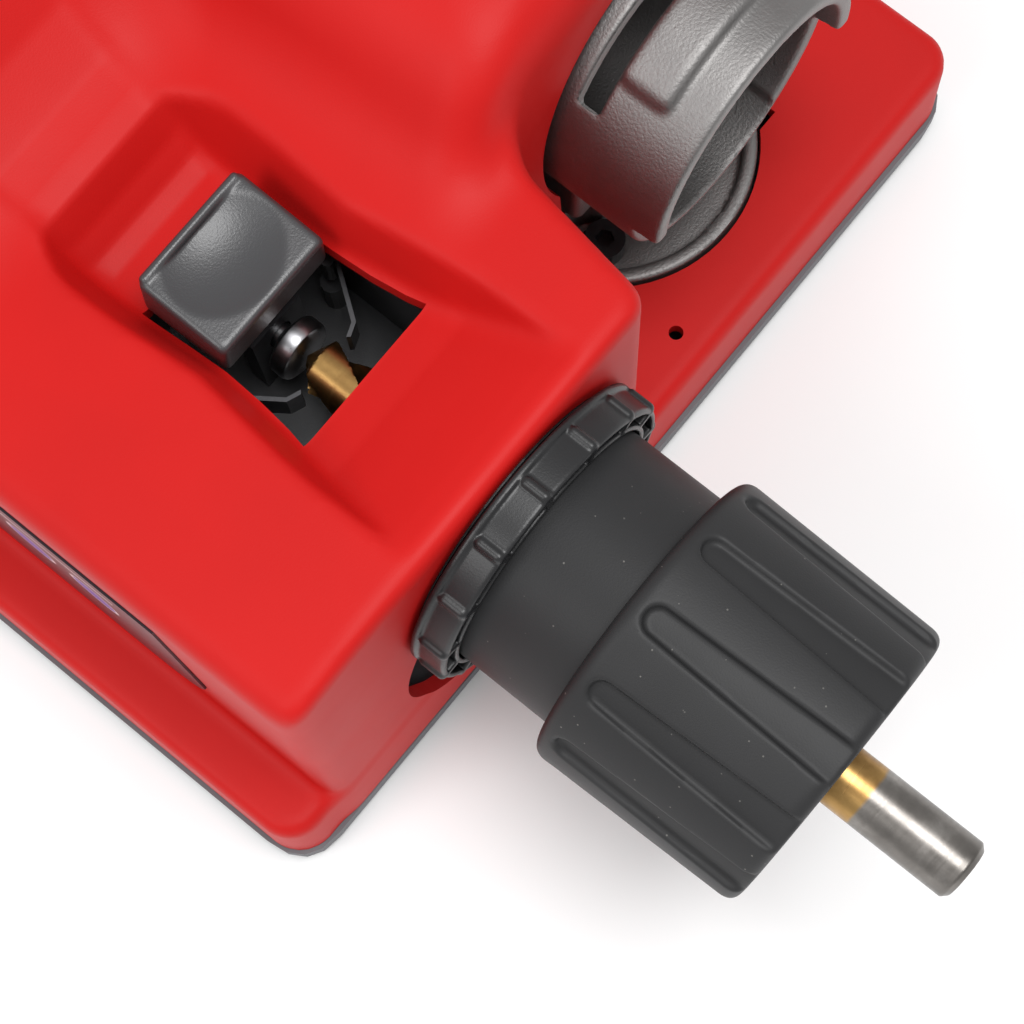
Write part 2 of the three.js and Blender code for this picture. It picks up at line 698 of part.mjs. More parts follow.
function makeAlignmentFrame() {
  const z = (height) => height - chuckZ;
  let frame = joinAll(
    box(frameBack, frameFront, -17.5, 17.5, z(44), z(frameTop)),
    box(frameBack, frameBack + 8, -15, 15, z(baseTop + gap), z(46)),
    box(frameFront - 8, frameFront, -15, 15, z(baseTop + gap), z(46)));
  frame = cutAll(frame,
    box(frameBack + 6, frameFront + 1, -15, 15, z(50), z(frameTop + 1)),
    rodX(frameFront - 3, frameFront + 3, 12, 24));
  const post = (side) => rodZ(z(49), z(56.8), 2, 12, -48.5, side * 12.7);
  piece('alignment_frame', joinAll(frame, post(1), post(-1)), blackPlastic, atChuck);

  const pawlHalfHeight = 2.8;
  const thickness = 0.5;
  [1, -1].forEach((side, i) => {
    const line = [[-48.5, 14.2], [-39.2, 7.6], [-38.3, 5.3]];
    const inner = line.map(([x, y]) => [x, side * y]);
    const outer = line.map(([x, y]) => [x + thickness, side * (y + thickness)]).reverse();
    const outline = side > 0 ? [...inner, ...outer] : [...inner, ...outer].reverse();
    const strip = prism(outline, -pawlHalfHeight, pawlHalfHeight);
    const eye = rodZ(-pawlHalfHeight, pawlHalfHeight, 1.1, 12, -48.5, side * 12.9);
    piece(`pawl_${i ? 'left' : 'right'}`, strip.add(eye), steel, atChuck);
  });

  const stopBar = box(-50.4, -47.3, -5.4, 5.4, -11.7, 5)
    .subtract(rodX(-60, -40, 2.4, 16));
  piece('stop_bracket', stopBar, blackPlastic, atChuck);
  piece('depth_stop_pin', turnedX([
    [-51.5, 0], [-51.5, 2.05], [-46.6, 2.05], [-45.6, 3.4], [-45.3, 5.1], [-42.6, 5.1],
    [-42.2, 4.7], [-42.2, 0],
  ], 28), steel, atChuck);
}

function makeButton() {
  const z = (height) => height - chuckZ;
  const half = 10.8;
  const profile = [
    [-46.4, 72.4], [-46, 79.4], [-47, 81], [-59.3, 82.2], [-60, 83.8], [-61.6, 83.8],
    [-62.2, 82.8], [-61.8, 72.4],
  ];
  const side = new THREE.Shape(profile.map(([x, height]) => new THREE.Vector2(x, z(height))));
  const geometry = new THREE.ExtrudeGeometry(side, {
    depth: 2 * half - 2, bevelEnabled: true, bevelThickness: 1, bevelSize: 0.6, bevelOffset: -0.6,
    bevelSegments: 2,
  });
  geometry.rotateX(Math.PI / 2);
  geometry.translate(0, half - 1, 0);
  const dimpleRadius = 22;
  const dimple = new THREE.SphereGeometry(dimpleRadius, 40, 28);
  dimple.translate(-52.6, 0, z(81.3) + dimpleRadius - 1.6);
  const stem = box(-56, -51.2, -5.8, 5.8, z(58), z(73)).subtract(rodX(-60, -50, 4.6, 20));
  piece('thumb_button', cutAll(solid(geometry), solid(dimple)).add(stem), buttonPlastic, atChuck);

  const turns = 4;
  const length = 9.2;
  class Helix extends THREE.Curve {
    getPoint(t, target = new THREE.Vector3()) {
      const angle = 2 * Math.PI * turns * t;
      return target.set(length * t, 3.6 * Math.cos(angle), 3.6 * Math.sin(angle));
    }
  }
  const wire = new THREE.Shape();
  wire.absarc(0, 0, 0.45, 0, 2 * Math.PI);
  const spring = new THREE.ExtrudeGeometry(wire, {
    steps: turns * 12, extrudePath: new Helix(), curveSegments: 3,
  });
  spring.translate(frameBack + 6.6, 0, 0);
  piece('button_spring', solid(spring), steel, atChuck);
}

// ---- sharpening port ------------------------------------------------------------------
const pivotRadius = 3.7;
const lockX = -28;
const lockY = 117;
const swivelTravel = THREE.MathUtils.degToRad(8.5);

function makePort() {
  let casting = joinAll(
    rodZ(discBottom, discFloor, discRadius, 60, discX, portY),
    tubeZ(discBottom, discRim, discRadius - 2.6, discRadius, 60, discX, portY),
    box(-50, -31, portY - 19, portY + 19, discFloor - 1, 47),
    rodX(tubeInner, tubeMouth, tubeRadius, 56, portY, chuckZ));
  const padTool = tubeX(-27.5, -18.3, tubeRadius - 1, tubeRadius + 1.2, 56, portY, chuckZ)
    .intersect(box(-30, -10, portY - 15, portY + 15, chuckZ, chuckZ + 40));
  casting = cutAll(casting.add(padTool),
    rodX(tubeInner - 1, tubeMouth + 1, portBore, 56, portY, chuckZ),
    box(tubeLowMouth, 0, portY - 30, portY + 30, 30, chuckZ - 1),
    box(-31.5, -27.5, portY - 19, portY + 19, chuckZ + 12, 100),
    rodZ(10, 31, pivotRadius + gap, 20, discX, portY));
  for (let step = 0; step <= 3; step++) {
    const turn = (-swivelTravel * step) / 3;
    const dx = lockX - discX;
    const dy = lockY - portY;
    const x = discX + dx * Math.cos(turn) - dy * Math.sin(turn);
    const y = portY + dx * Math.sin(turn) + dy * Math.cos(turn);
    casting = cutAll(casting, rodZ(10, 30, 2.9, 16, x, y), rodZ(discFloor, 34, 4.1, 20, x, y));
  }
  piece('sharpening_port', casting, castAluminium);

  const seat = cutAll(
    rodZ(baseTop + gap, discBottom - gap, 23, 40, discX, portY),
    rodZ(0, 12, 10, 24, discX, portY),
    rodZ(0, 30, pivotRadius + gap, 20, discX, portY),
    rodZ(9, 30, 2.5, 16, lockX, lockY));
  piece('port_seat', seat, blackPlastic);
  piece('pivot_bolt', rodZ(8.2, 11.6, 7, 24, discX, portY)
    .add(rodZ(11, 30, pivotRadius, 20, discX, portY)), steel);
  const lockScrew = cutAll(
    rodZ(discFloor + gap, discFloor + 4, 3.6, 24, lockX, lockY)
      .add(rodZ(9.4, discFloor + 1, 2.2, 16, lockX, lockY)),
    rodZ(discFloor + 2, discFloor + 6, 1.7, 6, lockX, lockY));
  piece('lock_screw', lockScrew, darkSteel);
}

makeBase();
makeHousing();
makeLabel();
makeElectrics();
makeMotor();
makeRotor();
makeBarrel();
makeKnob();
makeJaws();
makeCollarRing();
makeSleeve();
makeDrill();
makeAlignmentFrame();
makeButton();
makePort();

machine.position.set((baseLength - drillEnd) / 2, -baseWidth / 2, 0);
const sharpener = new THREE.Group();
sharpener.add(machine);

export default sharpener;
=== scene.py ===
import json
import math

import bmesh
import bpy
import numpy as np
from mathutils import Matrix, Vector


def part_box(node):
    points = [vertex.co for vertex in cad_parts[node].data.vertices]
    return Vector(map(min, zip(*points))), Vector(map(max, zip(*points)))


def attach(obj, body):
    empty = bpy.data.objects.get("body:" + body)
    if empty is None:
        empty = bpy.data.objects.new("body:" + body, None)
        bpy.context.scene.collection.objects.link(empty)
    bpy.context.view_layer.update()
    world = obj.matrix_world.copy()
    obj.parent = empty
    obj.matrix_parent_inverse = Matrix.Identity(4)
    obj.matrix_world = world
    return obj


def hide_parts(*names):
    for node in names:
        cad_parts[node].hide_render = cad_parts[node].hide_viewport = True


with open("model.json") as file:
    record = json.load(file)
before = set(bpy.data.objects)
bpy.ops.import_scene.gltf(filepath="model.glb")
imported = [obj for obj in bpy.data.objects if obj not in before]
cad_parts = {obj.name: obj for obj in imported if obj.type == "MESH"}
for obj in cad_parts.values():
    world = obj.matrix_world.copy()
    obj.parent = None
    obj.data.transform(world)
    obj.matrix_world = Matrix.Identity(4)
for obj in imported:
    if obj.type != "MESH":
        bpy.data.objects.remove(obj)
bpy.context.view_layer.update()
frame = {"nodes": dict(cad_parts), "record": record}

# ---- the machine's own frame ------------------------------------------------------------
# Shapes are drawn in millimetres with X = 0 at the machine's front face, Y = 0 at its left
# side and Z = 0 on the bench, as the CAD model is, then moved into the row frame.
MM = 0.001
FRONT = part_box("base_plate")[1].x
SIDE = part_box("base_plate")[0].y


def middle(node, axis):
    """The middle of a CAD node along one axis, in the machine's millimetres."""
    low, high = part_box(node)
    start = (FRONT, SIDE, 0)[axis]
    return ((low[axis] + high[axis]) / 2 - start) / MM


def ends(node, axis):
    """Where a CAD node starts and ends along one axis, in the machine's millimetres."""
    low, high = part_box(node)
    start = (FRONT, SIDE, 0)[axis]
    return (low[axis] - start) / MM, (high[axis] - start) / MM


CHUCK_Y = middle("chuck_barrel", 1)
CHUCK_Z = middle("chuck_barrel", 2)
PORT_Y = middle("port_seat", 1)
DISC_X = middle("port_seat", 0)
BASE_LENGTH = -ends("base_plate", 0)[0]
BASE_WIDTH = ends("base_plate", 1)[1]
SHELL_BOTTOM = ends("housing", 2)[0]
REAR_TOP = ends("housing", 2)[1]
LEDGE = 12.3
WALL = 2.6
PORT_BORE = 21.2

# ---- signed distance fields -----------------------------------------------------------------
# A field gives a signed distance in millimetres, below zero inside the material.
def rounded_min(a, b, k):
    """Two fields joined, with the corner between them filled over a width of k."""
    h = np.clip(0.5 + 0.5 * (b - a) / k, 0, 1)
    return b * (1 - h) + a * h - k * h * (1 - h)


def rounded_max(a, b, k):
    """The overlap of two fields, with its edge rounded over a width of k."""
    return -rounded_min(-a, -b, k)


def overlap_of(k, *fields):
    """The overlap of several fields, with edges rounded by k."""
    result = fields[0]
    for field in fields[1:]:
        result = rounded_max(result, field, k)
    return result


def between(value, low, high):
    """Below zero where a value lies between two limits."""
    return np.maximum(low - value, value - high)


def rounded_rectangle(u, v, half_u, half_v, radius):
    """The distance to a rectangle about the origin, with corners of a radius."""
    qu = np.abs(u) - half_u + radius
    qv = np.abs(v) - half_v + radius
    return np.hypot(np.maximum(qu, 0), np.maximum(qv, 0)) + np.minimum(np.maximum(qu, qv), 0) - radius


CORNERS = np.array([(i, j, k) for i in (0, 1) for j in (0, 1) for k in (0, 1)])
CELL_EDGES = [
    (a, b) for a in range(8) for b in range(a + 1, 8) if np.abs(CORNERS[a] - CORNERS[b]).sum() == 1
]


def surface(field, low, high, step, settle=3):
    """The zero surface of a field: one point per crossed cell of a grid, then moved onto the
    surface along the field's slope. Gives the points, the quads and each point's cell."""
    axes = [np.arange(low[i], high[i] + step, step) for i in range(3)]
    x, y, z = np.meshgrid(*axes, indexing="ij")
    value = field(x, y, z)
    inside = value < 0
    shape = tuple(n - 1 for n in value.shape)
    corner = [
        value[i:i + shape[0], j:j + shape[1], k:k + shape[2]] for i, j, k in CORNERS
    ]
    count = sum((c < 0).astype(np.int8) for c in corner)
    cells = np.argwhere((count > 0) & (count < 8))
    number = np.full(shape, -1, np.int64)
    number[tuple(cells.T)] = np.arange(len(cells))
    at = np.stack([c[tuple(cells.T)] for c in corner], 1)
    total = np.zeros((len(cells), 3))
    hits = np.zeros(len(cells))
    for a, b in CELL_EDGES:
        va, vb = at[:, a], at[:, b]
        crossed = (va < 0) != (vb < 0)
        t = np.where(crossed, va / np.where(crossed, va - vb, 1), 0)
        point = CORNERS[a] + t[:, None] * (CORNERS[b] - CORNERS[a])
        total += np.where(crossed[:, None], point, 0)
        hits += crossed
    points = np.array(low) + (cells + total / hits[:, None]) * step
    for _ in range(settle):
        points = points + np.clip(toward_zero(field, points), -step, step)
    quads = [quads_across(inside, number, axis) for axis in range(3)]
    return points, np.concatenate(quads), cells


def toward_zero(field, points):
    """How far, and which way, each point has to move to reach the field's zero surface."""
    h = 0.02
    p = points.T
    value = field(*p)
    slope = []
    for axis in range(3):
        offset = np.zeros((3, 1))
        offset[axis] = h
        slope.append((field(*(p + offset)) - field(*(p - offset))) / (2 * h))
    slope = np.array(slope)
    steepness = np.maximum((slope ** 2).sum(0), 0.2)
    return (-value * slope / steepness).T


def quads_across(inside, number, axis):
    """A quad for each grid edge along the axis that crosses the surface."""
    order = [axis, (axis + 1) % 3, (axis + 2) % 3]
    filled = inside.transpose(order)
    cell = number.transpose(order)
    start = filled[:-1, 1:-1, 1:-1]
    end = filled[1:, 1:-1, 1:-1]
    i, j, k = np.nonzero(start != end)
    leaves = start[i, j, k]
    ring = np.stack([cell[i, j, k], cell[i, j + 1, k], cell[i, j + 1, k + 1], cell[i, j, k + 1]], 1)
    return np.where(leaves[:, None], ring, ring[:, ::-1])


# ---- pieces ---------------------------------------------------------------------------------
def mesh_object(name, points, faces):
    """A mesh in the row frame, in metres, from points in the machine's millimetres."""
    moved = np.asarray(points) * MM + (FRONT, SIDE, 0)
    mesh = bpy.data.meshes.new(name)
    mesh.from_pydata(moved.tolist(), [], [list(map(int, f)) for f in faces])
    mesh.update()
    obj = bpy.data.objects.new(name, mesh)
    bpy.context.scene.collection.objects.link(obj)
    return obj


def finish_piece(obj, body, look, replaces, sharp=35):
    """Gives a finished mesh its material, its smooth shading and its place on a body."""
    mesh = obj.data
    mesh.materials.clear()
    mesh.materials.append(look)
    mesh.shade_smooth()
    mesh.set_sharp_from_angle(angle=math.radians(sharp))
    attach(obj, body)
    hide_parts(*replaces)
    return obj


def field_piece(name, field, low, high, step):
    """The surface of a field as a mesh object; its box and step are in millimetres."""
    points, quads, _ = surface(field, low, high, step)
    return mesh_object(name, points, quads)


def turned(name, profile, segments=160):
    """A closed solid turned about the chuck's axis; profile points are (x, radius)."""
    angles = 2 * np.pi * np.arange(segments) / segments
    points, faces = [], []
    count = len(profile)
    for x, radius in profile:
        for angle in angles:
            points.append((x, CHUCK_Y + radius * math.cos(angle), CHUCK_Z + radius * math.sin(angle)))
    for ring in range(count):
        following = (ring + 1) % count
        for i in range(segments):
            j = (i + 1) % segments
            faces.append((ring * segments + i, following * segments + i,
                          following * segments + j, ring * segments + j))
    return mesh_object(name, points, faces)


def prism(outline, low, high, axis):
    """An outline drawn across one axis and carried along it, as points and faces."""
    count = len(outline)
    points = []
    for level in (low, high):
        for u, v in outline:
            point = [u, v]
            point.insert(axis, level)
            points.append(point)
    faces = [tuple(range(count))[::-1], tuple(range(count, 2 * count))]
    for i in range(count):
        j = (i + 1) % count
        faces.append((i, j, j + count, i + count))
    return points, faces


def circle(u, v, radius, segments=72):
    return [
        (u + radius * math.cos(2 * math.pi * i / segments), v + radius * math.sin(2 * math.pi * i / segments))
        for i in range(segments)
    ]


def rectangle(u0, u1, v0, v1):
    return [(u0, v0), (u1, v0), (u1, v1), (u0, v1)]


def cut(obj, *prisms):
    """Cuts separate closed prisms out of a mesh."""
    points, faces = [], []
    for more_points, more_faces in prisms:
        start = len(points)
        points += more_points
        faces += [tuple(i + start for i in face) for face in more_faces]
    cutter = mesh_object("cutter", points, faces)
    work = bmesh.new()
    work.from_mesh(cutter.data)
    bmesh.ops.recalc_face_normals(work, faces=work.faces)
    work.to_mesh(cutter.data)
    work.free()
    modifier = obj.modifiers.new("cut", "BOOLEAN")
    modifier.object = cutter
    modifier.operation = "DIFFERENCE"
    modifier.solver = "EXACT"
    apply_modifiers(obj)
    bpy.data.objects.remove(cutter)


def apply_modifiers(obj):
    bpy.context.view_layer.update()
    depsgraph = bpy.context.evaluated_depsgraph_get()
    made = bpy.data.meshes.new_from_object(obj.evaluated_get(depsgraph))
    obj.modifiers.clear()
    obj.data = made


# ---- materials --------------------------------------------------------------------------
def new_material(name, colour, roughness, metallic=0.0, specular=0.5):
    look = bpy.data.materials.new(name)
    look.use_nodes = True
    look.diffuse_color = (*colour, 1)
    shader = look.node_tree.nodes["Principled BSDF"]
    shader.inputs["Base Color"].default_value = (*colour, 1)
    shader.inputs["Roughness"].default_value = roughness
    shader.inputs["Metallic"].default_value = metallic
    shader.inputs["Specular IOR Level"].default_value = specular
    return look, look.node_tree.nodes, look.node_tree.links, shader


def place(nodes, links, scale=(1, 1, 1)):
    """Object coordinates, so a pattern keeps to its piece."""
    where = nodes.new("ShaderNodeTexCoord")
    mapping = nodes.new("ShaderNodeMapping")
    mapping.inputs["Scale"].default_value = scale
    links.new(where.outputs["Object"], mapping.inputs["Vector"])
    return mapping.outputs["Vector"]


def noise(nodes, links, vector, scale, detail=3.0, rough=0.55):
    node = nodes.new("ShaderNodeTexNoise")
    node.inputs["Scale"].default_value = scale
    node.inputs["Detail"].default_value = detail
    node.inputs["Roughness"].default_value = rough
    links.new(vector, node.inputs["Vector"])
    return node.outputs["Fac"]


def ramp(nodes, links, factor, stops):
    node = nodes.new("ShaderNodeValToRGB")
    elements = node.color_ramp.elements
    while len(elements) < len(stops):
        elements.new(0.5)
    for element, (position, colour) in zip(elements, stops):
        element.position = position
        element.color = (*colour, 1) if len(colour) == 3 else colour
    links.new(factor, node.inputs["Fac"])
    return node.outputs["Color"]


def spread(nodes, links, factor, low, high):
    node = nodes.new("ShaderNodeMapRange")
    node.inputs["To Min"].default_value = low
    node.inputs["To Max"].default_value = high
    links.new(factor, node.inputs["Value"])
    return node.outputs["Result"]


def bump(nodes, links, shader, height, distance, strength=1.0, below=None):
    node = nodes.new("ShaderNodeBump")
    node.inputs["Distance"].default_value = distance
    node.inputs["Strength"].default_value = strength
    links.new(height, node.inputs["Height"])
    if below is not None:
        links.new(below, node.inputs["Normal"])
    links.new(node.outputs["Normal"], shader.inputs["Normal"])
    return node.outputs["Normal"]


def shades(colour, dark, light):
    return tuple(c * dark for c in colour), tuple(min(1, c * light) for c in colour)


def moulded(name, colour, roughness, grain=3000, depth=0.00003, vary=0.06, spread_by=0.06, specular=0.5):
    """Moulded plastic: a fine spark-eroded grain, faint clouding and small marks."""
    look, nodes, links, shader = new_material(name, colour, roughness, specular=specular)
    vector = place(nodes, links)
    clouds = noise(nodes, links, vector, 22, 4)
    low, high = shades(colour, 1 - vary, 1 + vary)
    links.new(ramp(nodes, links, clouds, [(0.3, low), (0.7, high)]), shader.inputs["Base Color"])
    fine = noise(nodes, links, vector, grain, 2)
    links.new(spread(nodes, links, noise(nodes, links, vector, 60, 5),
                     roughness - spread_by, roughness + spread_by), shader.inputs["Roughness"])
    wide = bump(nodes, links, shader, noise(nodes, links, vector, 60, 1), 0.00008, 0.25)
    bump(nodes, links, shader, fine, depth, 0.7, wide)
    return look


def dusty(look, density=420, size=0.06):
    """Adds a scatter of tiny pale specks to a moulded material's colour."""
    nodes, links = look.node_tree.nodes, look.node_tree.links
    shader = nodes["Principled BSDF"]
    colour = shader.inputs["Base Color"].links[0].from_socket
    cells = nodes.new("ShaderNodeTexVoronoi")
    cells.inputs["Scale"].default_value = density
    links.new(place(nodes, links), cells.inputs["Vector"])
    speck = nodes.new("ShaderNodeMath")
    speck.operation = "LESS_THAN"
    speck.inputs[1].default_value = size
    links.new(cells.outputs["Distance"], speck.inputs[0])
    chosen = nodes.new("ShaderNodeMath")
    chosen.operation = "MULTIPLY"
    links.new(speck.outputs["Value"], chosen.inputs[0])
    patches = noise(nodes, links, place(nodes, links), 70, 3)
    links.new(spread(nodes, links, patches, -0.1, 0.45), chosen.inputs[1])
    mix = nodes.new("ShaderNodeMix")
    mix.data_type = "RGBA"
    mix.inputs["B"].default_value = (0.6, 0.57, 0.52, 1)
    links.new(chosen.outputs["Value"], mix.inputs["Factor"])
    links.new(colour, mix.inputs["A"])
    links.new(mix.outputs["Result"], shader.inputs["Base Color"])
    return look


def metal(name, colour, roughness, brush=(1, 1, 1), grain=900, depth=0.00003, vary=0.12, marks=0.0):
    """Machined or cast metal; brush stretches its grain along an axis."""
    look, nodes, links, shader = new_material(name, colour, roughness, metallic=1.0)
    vector = place(nodes, links, brush)
    lines = noise(nodes, links, vector, grain, 3)
    clouds = noise(nodes, links, place(nodes, links), 45, 5)
    low, high = shades(colour, 1 - vary, 1 + vary)
    links.new(ramp(nodes, links, clouds, [(0.3, low), (0.7, high)]), shader.inputs["Base Color"])
    links.new(spread(nodes, links, lines, roughness - 0.08, roughness + 0.1), shader.inputs["Roughness"])
    under = bump(nodes, links, shader, clouds, 0.0002, marks) if marks else None
    bump(nodes, links, shader, lines, depth, 0.6, under)
    return look


def drill_look():
    """Gold titanium nitride over the working length, then bare turned steel on the shank."""
    gold = (0.62, 0.36, 0.07)
    bare = (0.22, 0.205, 0.19)
    look, nodes, links, shader = new_material("drill_gold_and_steel", gold, 0.3, metallic=1.0)
    vector = place(nodes, links)
    split = nodes.new("ShaderNodeSeparateXYZ")
    links.new(vector, split.inputs["Vector"])
    ragged = nodes.new("ShaderNodeMath")
    ragged.operation = "MULTIPLY_ADD"
    ragged.inputs[1].default_value = 0.0008
    links.new(noise(nodes, links, vector, 300, 2), ragged.inputs[0])
    links.new(split.outputs["X"], ragged.inputs[2])
    edge = nodes.new("ShaderNodeMapRange")
    coated_to = FRONT + 65.0 * MM
    edge.inputs["From Min"].default_value = coated_to
    edge.inputs["From Max"].default_value = coated_to + 0.0005
    links.new(ragged.outputs["Value"], edge.inputs["Value"])
    rings = noise(nodes, links, place(nodes, links, (1, 0.02, 0.02)), 2600, 2)
    stains = noise(nodes, links, vector, 160, 5)
    mix = nodes.new("ShaderNodeMix")
    mix.data_type = "RGBA"
    links.new(edge.outputs["Result"], mix.inputs["Factor"])
    golds = [(0.35, (0.24, 0.13, 0.045)), (0.65, (0.46, 0.28, 0.1))]
    links.new(ramp(nodes, links, stains, golds), mix.inputs["A"])
    greys = [(0.3, shades(bare, 0.62, 1)[0]), (0.6, bare), (0.8, (0.36, 0.34, 0.32))]
    links.new(ramp(nodes, links, stains, greys), mix.inputs["B"])
    links.new(mix.outputs["Result"], shader.inputs["Base Color"])
    links.new(spread(nodes, links, rings, 0.22, 0.42), shader.inputs["Roughness"])
    bump(nodes, links, shader, rings, 0.00002, 0.5)
    return look


def label_look():
    """A dark printed strip with plain round marks and bars, and no lettering."""
    look, nodes, links, shader = new_material("label_print", (0.012, 0.013, 0.02), 0.28)
    vector = place(nodes, links)
    split = nodes.new("ShaderNodeSeparateXYZ")
    links.new(vector, split.inputs["Vector"])

    def math_node(operation, a, b):
        node = nodes.new("ShaderNodeMath")
        node.operation = operation
        for socket, value in zip(node.inputs, (a, b)):
            if isinstance(value, (int, float)):
                socket.default_value = value
            else:
                links.new(value, socket)
        return node.outputs["Value"]

    pitch = 13 * MM
    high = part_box("label_plate")[1]
    along = math_node("SUBTRACT", split.outputs["X"], high.x - 46 * MM - pitch / 2)
    local = math_node("SUBTRACT", math_node("MODULO", math_node("ADD", along, 20 * pitch), pitch), pitch / 2)
    up = math_node("SUBTRACT", split.outputs["Z"], high.z - 17 * MM)
    square = math_node("ADD", math_node("MULTIPLY", local, local), math_node("MULTIPLY", up, up))
    distance = math_node("SQRT", square, 0)
    disc = math_node("LESS_THAN", distance, 4.2 * MM)
    in_rim = math_node("LESS_THAN", distance, 4.9 * MM)
    rim = math_node("MULTIPLY", in_rim, math_node("GREATER_THAN", distance, 4.2 * MM))
    reach = math_node("GREATER_THAN", split.outputs["X"], high.x - 52.5 * MM)
    end = math_node("LESS_THAN", split.outputs["X"], high.x - 13.5 * MM)
    shown = math_node("MULTIPLY", reach, end)
    from_bar = math_node("ABSOLUTE", math_node("SUBTRACT", split.outputs["Z"], high.z - 7 * MM), 0)
    bar = math_node("LESS_THAN", from_bar, 0.7 * MM)
    colour = nodes.new("ShaderNodeMix")
    colour.data_type = "RGBA"
    colour.inputs["A"].default_value = (0.012, 0.013, 0.02, 1)
    colour.inputs["B"].default_value = (0.03, 0.08, 0.45, 1)
    links.new(math_node("MULTIPLY", disc, shown), colour.inputs["Factor"])
    white = nodes.new("ShaderNodeMix")
    white.data_type = "RGBA"
    white.inputs["B"].default_value = (0.72, 0.72, 0.74, 1)
    links.new(colour.outputs["Result"], white.inputs["A"])
    links.new(math_node("MULTIPLY", math_node("MAXIMUM", rim, bar), shown), white.inputs["Factor"])
    links.new(white.outputs["Result"], shader.inputs["Base Color"])
    bump(nodes, links, shader, noise(nodes, links, vector, 400, 2), 0.00003, 0.3)
    return look


LOOKS = {
    "red_shell": moulded("red_moulded_shell", (0.53, 0.008, 0.007), 0.5, grain=3600, depth=0.00003, vary=0.05,
                         specular=0.2),
    "base_grey": moulded("grey_moulded_base", (0.13, 0.13, 0.14), 0.6, vary=0.1),
    "rubber": moulded("matte_rubber", (0.018, 0.018, 0.018), 0.85, grain=900, specular=0.3),
    "label_film": label_look(),
    "black_plastic": moulded("black_satin_plastic", (0.01, 0.01, 0.011), 0.36, grain=3200, depth=0.000025,
                             vary=0.2),
    "chuck_grey": dusty(moulded("charcoal_chuck_plastic", (0.023, 0.023, 0.024), 0.5, grain=3400,
                                depth=0.00003, vary=0.16, specular=0.3)),
    "button_grey": moulded("speckled_button_plastic", (0.04, 0.04, 0.043), 0.34, grain=3000, depth=0.00005,
                           vary=0.14, specular=0.7),
    "steel": metal("machined_steel", (0.3, 0.3, 0.31), 0.3, vary=0.12),
    "dark_steel": metal("blackened_steel", (0.07, 0.07, 0.075), 0.42, vary=0.2),
    "copper": metal("enamelled_copper", (0.6, 0.24, 0.1), 0.32, brush=(1, 8, 8)),
    "diamond_grit": metal("diamond_grit_face", (0.2, 0.21, 0.23), 0.62, grain=2600, depth=0.0003, vary=0.25),
    "cast_aluminium": metal("blasted_casting", (0.24, 0.232, 0.228), 0.5, grain=2200, depth=0.00014,
                            vary=0.16, marks=0.3),
    "drill_steel": drill_look(),
    "pawl_steel": metal("dull_spring_steel", (0.09, 0.09, 0.095), 0.45),
    "frame_plastic": moulded("charcoal_frame_plastic", (0.02, 0.02, 0.022), 0.38, vary=0.2),
    "board": moulded("circuit_board", (0.02, 0.12, 0.035), 0.45, vary=0.2),
}
LOOK_OF = {row["node"]: row["material_slot"] for row in frame["record"]["subparts"]}
LOOK_OF.update(pawl_left="pawl_steel", pawl_right="pawl_steel")
LOOK_OF.update(alignment_frame="frame_plastic", stop_bracket="frame_plastic")


def dress_cad_nodes():
    """Every carried-over CAD node gets its procedural material and softened edges."""
    for name, obj in frame["nodes"].items():
        obj.data.materials.clear()
        obj.data.materials.append(LOOKS[LOOK_OF[name]])
        obj.data.shade_smooth()
        obj.data.set_sharp_from_angle(angle=math.radians(32))
        soften = obj.modifiers.new("soft_edges", "BEVEL")
        soften.width = 0.25 * MM
        soften.segments = 2
        soften.limit_method = "ANGLE"
        soften.angle_limit = math.radians(40)
        soften.harden_normals = False


# ---- the red housing --------------------------------------------------------------------
# The trough along the chuck's axis: (x, floor height) and (x, half width of the floor).
VALLEY = np.array([
    (-112, 108), (-104, 93.5), (-96, 86), (-88, 81.4), (-82, 80.2), (-78.5, 78.8), (-75.5, 74), (-72.5, 71),
    (-69.5, 70), (-62, 70.6), (-59, 71), (-45, 74.5), (-28.5, 76.3), (-22, 78.6), (-14, 83), (-6, 87.6),
    (0, 92),
])
VALLEY_HALF = np.array([
    (-112, 18), (-92, 14), (-78, 12.6), (-60, 12.3), (-45, 12.1), (-28.5, 14), (-10, 17.5), (0, 20),
])
BOX_TOP = 88.5
BOX_FALL = 0.115
BOX_REAR = -110
DECK_TOP = 22
DECK_INSET = 0.8
DECK_DRAFT = 0.05
DECK_CORNER = 7
SIDE_DRAFT = 0.019
HUMP_TOP = 101
HUMP_REAR = -150
HOUSING_CELL = 1.1


